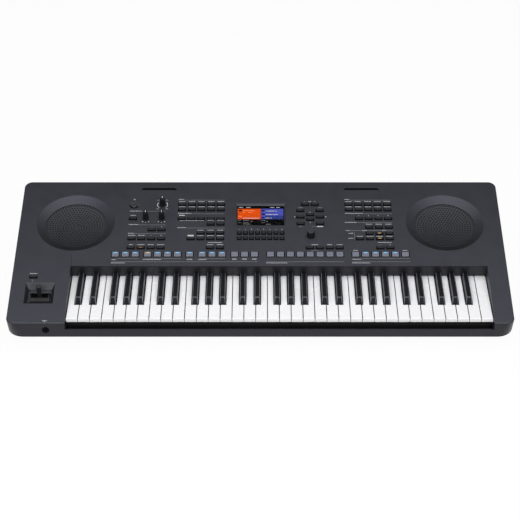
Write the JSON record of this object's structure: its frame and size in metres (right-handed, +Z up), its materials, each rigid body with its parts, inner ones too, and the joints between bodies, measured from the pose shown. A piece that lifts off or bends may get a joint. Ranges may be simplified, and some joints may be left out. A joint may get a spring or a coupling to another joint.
{
  "type": "arranger keyboard",
  "caption": "Low wedge-shaped electronic keyboard with white and black keys, a sloping panel of buttons and knobs, a colour display, round speakers and a joystick.",
  "frame": {"origin": "on the floor under the middle of the case's bounding box", "axes": "+X to the player's right, +Y to the back, +Z up"},
  "size_m": [1.004, 0.397, 0.1418],
  "materials": {
    "case": "fine matt texture, charcoal",
    "white_key": "satin white",
    "black_key": "satin black",
    "dark_button": "satin black",
    "grey_button": "satin blue grey",
    "knob": "satin black",
    "grille": "matt black paint",
    "window": "clear",
    "module": "black",
    "board": "green solder mask",
    "switch": "black",
    "steel": "bright",
    "basket": "black paint",
    "cone": "pressed paper",
    "magnet": "dull",
    "chassis": "dark grey",
    "felt": "felt",
    "rubber": "matt",
    "contact": "silicone",
    "cable": "grey",
    "socket": "black"
  },
  "bodies": {
    "case": {"upper_case": "case", "lower_case": "case", "speaker_grilles": "grille", "speaker_baskets": "basket", "speaker_cones": "cone", "speaker_magnets": "magnet", "display_window": "window", "display_module": "module", "main_board": "board", "amplifier_board": "board", "panel_boards": "board", "button_switches": "switch", "rotary_sensors": "switch", "key_chassis": "chassis", "key_contact_boards": "board", "key_contact_rubbers": "contact", "key_pivot_rod": "steel", "key_springs": "steel", "key_stop_felts": "felt", "joystick_frame": "chassis", "headphone_jack": "socket", "rear_jack_plate": "socket", "rear_jacks": "socket", "rubber_feet": "rubber", "case_screws": "steel", "inner_screws": "steel", "wiring": "cable"},
    "c_keys": {"c_keys": "white_key"},
    "d_keys": {"d_keys": "white_key"},
    "e_keys": {"e_keys": "white_key"},
    "f_keys": {"f_keys": "white_key"},
    "g_keys": {"g_keys": "white_key"},
    "a_keys": {"a_keys": "white_key"},
    "b_keys": {"b_keys": "white_key"},
    "top_c_key": {"top_c_key": "white_key"},
    "c_sharp_keys": {"c_sharp_keys": "black_key"},
    "d_sharp_keys": {"d_sharp_keys": "black_key"},
    "f_sharp_keys": {"f_sharp_keys": "black_key"},
    "g_sharp_keys": {"g_sharp_keys": "black_key"},
    "a_sharp_keys": {"a_sharp_keys": "black_key"},
    "tempo_buttons": {"tempo_buttons": "dark_button"},
    "style_buttons": {"style_buttons": "dark_button"},
    "song_buttons": {"song_buttons": "dark_button"},
    "function_buttons": {"function_buttons": "dark_button"},
    "tab_buttons": {"tab_buttons": "dark_button"},
    "cursor_buttons": {"cursor_buttons": "dark_button"},
    "memory_bank_buttons": {"memory_bank_buttons": "dark_button"},
    "voice_buttons": {"voice_buttons": "dark_button"},
    "part_buttons": {"part_buttons": "dark_button"},
    "joystick_hold_button": {"joystick_hold_button": "dark_button"},
    "power_button": {"power_button": "dark_button"},
    "style_control_buttons": {"style_control_buttons": "grey_button"},
    "memory_buttons": {"memory_buttons": "grey_button"},
    "pad_buttons": {"pad_buttons": "grey_button"},
    "volume_knob": {"volume_knob": "knob"},
    "control_knob_1": {"control_knob_1": "knob"},
    "control_knob_2": {"control_knob_2": "knob"},
    "data_dial": {"data_dial": "knob"},
    "joystick_barrel": {"joystick_barrel": "knob"},
    "joystick_lever": {"joystick_lever": "knob"}
  },
  "joints": [
    {"name": "c_press", "type": "hinge", "parent": "case", "child": "c_keys", "pos_m": [0, 0.0215, 0.047], "axis": [1, 0, 0], "range_deg": [0, 2.8], "stiffness_Nm_per_rad": 2, "springref_deg": -20.05},
    {"name": "d_press", "type": "hinge", "parent": "case", "child": "d_keys", "pos_m": [0, 0.0215, 0.047], "axis": [1, 0, 0], "range_deg": [0, 2.8], "stiffness_Nm_per_rad": 2, "springref_deg": -20.05},
    {"name": "e_press", "type": "hinge", "parent": "case", "child": "e_keys", "pos_m": [0, 0.0215, 0.047], "axis": [1, 0, 0], "range_deg": [0, 2.8], "stiffness_Nm_per_rad": 2, "springref_deg": -20.05},
    {"name": "f_press", "type": "hinge", "parent": "case", "child": "f_keys", "pos_m": [0, 0.0215, 0.047], "axis": [1, 0, 0], "range_deg": [0, 2.8], "stiffness_Nm_per_rad": 2, "springref_deg": -20.05},
    {"name": "g_press", "type": "hinge", "parent": "case", "child": "g_keys", "pos_m": [0, 0.0215, 0.047], "axis": [1, 0, 0], "range_deg": [0, 2.8], "stiffness_Nm_per_rad": 2, "springref_deg": -20.05},
    {"name": "a_press", "type": "hinge", "parent": "case", "child": "a_keys", "pos_m": [0, 0.0215, 0.047], "axis": [1, 0, 0], "range_deg": [0, 2.8], "stiffness_Nm_per_rad": 2, "springref_deg": -20.05},
    {"name": "b_press", "type": "hinge", "parent": "case", "child": "b_keys", "pos_m": [0, 0.0215, 0.047], "axis": [1, 0, 0], "range_deg": [0, 2.8], "stiffness_Nm_per_rad": 2, "springref_deg": -20.05},
    {"name": "top_c_press", "type": "hinge", "parent": "case", "child": "top_c_key", "pos_m": [0, 0.0215, 0.047], "axis": [1, 0, 0], "range_deg": [0, 2.8], "stiffness_Nm_per_rad": 0.4, "springref_deg": -20.05},
    {"name": "c_sharp_press", "type": "hinge", "parent": "case", "child": "c_sharp_keys", "pos_m": [0, 0.0215, 0.047], "axis": [1, 0, 0], "range_deg": [0, 2.8], "stiffness_Nm_per_rad": 2, "springref_deg": -20.05},
    {"name": "d_sharp_press", "type": "hinge", "parent": "case", "child": "d_sharp_keys", "pos_m": [0, 0.0215, 0.047], "axis": [1, 0, 0], "range_deg": [0, 2.8], "stiffness_Nm_per_rad": 2, "springref_deg": -20.05},
    {"name": "f_sharp_press", "type": "hinge", "parent": "case", "child": "f_sharp_keys", "pos_m": [0, 0.0215, 0.047], "axis": [1, 0, 0], "range_deg": [0, 2.8], "stiffness_Nm_per_rad": 2, "springref_deg": -20.05},
    {"name": "g_sharp_press", "type": "hinge", "parent": "case", "child": "g_sharp_keys", "pos_m": [0, 0.0215, 0.047], "axis": [1, 0, 0], "range_deg": [0, 2.8], "stiffness_Nm_per_rad": 2, "springref_deg": -20.05},
    {"name": "a_sharp_press", "type": "hinge", "parent": "case", "child": "a_sharp_keys", "pos_m": [0, 0.0215, 0.047], "axis": [1, 0, 0], "range_deg": [0, 2.8], "stiffness_Nm_per_rad": 2, "springref_deg": -20.05},
    {"name": "tempo_push", "type": "slide", "parent": "case", "child": "tempo_buttons", "axis": [0, 0.1908, -0.9816], "range_m": [0, 0.001], "stiffness_N_per_m": 800, "springref_m": -0.0015},
    {"name": "style_push", "type": "slide", "parent": "case", "child": "style_buttons", "axis": [0, 0.1908, -0.9816], "range_m": [0, 0.001], "stiffness_N_per_m": 800, "springref_m": -0.0015},
    {"name": "song_push", "type": "slide", "parent": "case", "child": "song_buttons", "axis": [0, 0.1908, -0.9816], "range_m": [0, 0.001], "stiffness_N_per_m": 800, "springref_m": -0.0015},
    {"name": "function_push", "type": "slide", "parent": "case", "child": "function_buttons", "axis": [0, 0.1908, -0.9816], "range_m": [0, 0.001], "stiffness_N_per_m": 800, "springref_m": -0.0015},
    {"name": "tab_push", "type": "slide", "parent": "case", "child": "tab_buttons", "axis": [0, 0.1908, -0.9816], "range_m": [0, 0.001], "stiffness_N_per_m": 800, "springref_m": -0.0015},
    {"name": "cursor_push", "type": "slide", "parent": "case", "child": "cursor_buttons", "axis": [0, 0.1908, -0.9816], "range_m": [0, 0.001], "stiffness_N_per_m": 800, "springref_m": -0.0015},
    {"name": "memory_bank_push", "type": "slide", "parent": "case", "child": "memory_bank_buttons", "axis": [0, 0.1908, -0.9816], "range_m": [0, 0.001], "stiffness_N_per_m": 800, "springref_m": -0.0015},
    {"name": "voice_push", "type": "slide", "parent": "case", "child": "voice_buttons", "axis": [0, 0.1908, -0.9816], "range_m": [0, 0.001], "stiffness_N_per_m": 800, "springref_m": -0.0015},
    {"name": "part_push", "type": "slide", "parent": "case", "child": "part_buttons", "axis": [0, 0.1908, -0.9816], "range_m": [0, 0.001], "stiffness_N_per_m": 800, "springref_m": -0.0015},
    {"name": "joystick_hold_push", "type": "slide", "parent": "case", "child": "joystick_hold_button", "axis": [0, 0.1908, -0.9816], "range_m": [0, 0.001], "stiffness_N_per_m": 800, "springref_m": -0.0015},
    {"name": "power_push", "type": "slide", "parent": "case", "child": "power_button", "axis": [0, 0.1908, -0.9816], "range_m": [0, 0.001], "stiffness_N_per_m": 800, "springref_m": -0.0015},
    {"name": "style_control_push", "type": "slide", "parent": "case", "child": "style_control_buttons", "axis": [0, 0.1908, -0.9816], "range_m": [0, 0.001], "stiffness_N_per_m": 800, "springref_m": -0.0015},
    {"name": "memory_push", "type": "slide", "parent": "case", "child": "memory_buttons", "axis": [0, 0.1908, -0.9816], "range_m": [0, 0.001], "stiffness_N_per_m": 800, "springref_m": -0.0015},
    {"name": "pad_push", "type": "slide", "parent": "case", "child": "pad_buttons", "axis": [0, 0.1908, -0.9816], "range_m": [0, 0.001], "stiffness_N_per_m": 800, "springref_m": -0.0015},
    {"name": "volume_knob_turn", "type": "hinge", "parent": "case", "child": "volume_knob", "pos_m": [-0.2058, 0.12851, 0.12147], "axis": [0, -0.1908, 0.9816], "range_deg": [-140, 140]},
    {"name": "control_knob_1_turn", "type": "hinge", "parent": "case", "child": "control_knob_1", "pos_m": [-0.2394, 0.08855, 0.11371], "axis": [0, -0.1908, 0.9816], "range_deg": [-140, 140]},
    {"name": "control_knob_2_turn", "type": "hinge", "parent": "case", "child": "control_knob_2", "pos_m": [-0.2061, 0.08855, 0.11371], "axis": [0, -0.1908, 0.9816], "range_deg": [-140, 140]},
    {"name": "data_dial_turn", "type": "hinge", "parent": "case", "child": "data_dial", "pos_m": [0.1046, 0.038, 0.10388], "axis": [0, -0.1908, 0.9816], "continuous": true},
    {"name": "joystick_tilt", "type": "hinge", "parent": "case", "child": "joystick_barrel", "pos_m": [-0.4424, -0.11476, 0.05279], "axis": [1, 0, 0], "range_deg": [-18, 18], "stiffness_Nm_per_rad": 0.1},
    {"name": "joystick_bend", "type": "hinge", "parent": "joystick_barrel", "child": "joystick_lever", "pos_m": [-0.4424, -0.11476, 0.05279], "axis": [0, 0.9816, 0.1908], "range_deg": [-18, 18], "stiffness_Nm_per_rad": 0.05}
  ]
}
